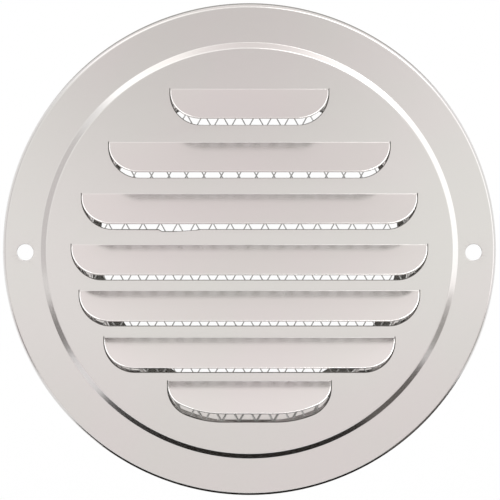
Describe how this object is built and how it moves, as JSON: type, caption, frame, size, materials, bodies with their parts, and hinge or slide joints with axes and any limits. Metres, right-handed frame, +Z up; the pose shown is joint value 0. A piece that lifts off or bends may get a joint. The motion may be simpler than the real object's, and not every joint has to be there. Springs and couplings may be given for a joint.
{
  "type": "round vent cover",
  "caption": "Round stainless wall vent with a pressed louvred faceplate, an insect screen behind it and a short collar that enters a round duct.",
  "frame": {"origin": "on the duct's axis, in the plane of the wall that the rim sits on", "axes": "+Y goes into the duct, the louvred front faces -Y, +Z is up as the louvres shed rain"},
  "size_m": [0.15, 0.0455, 0.15],
  "materials": {
    "faceplate_steel": "bright rolled stainless sheet",
    "screen_wire": "drawn stainless wire",
    "collar_steel": "bright rolled stainless sheet"
  },
  "bodies": {
    "root": {"faceplate": "faceplate_steel", "insect_screen": "screen_wire", "duct_collar": "collar_steel"}
  },
  "joints": []
}
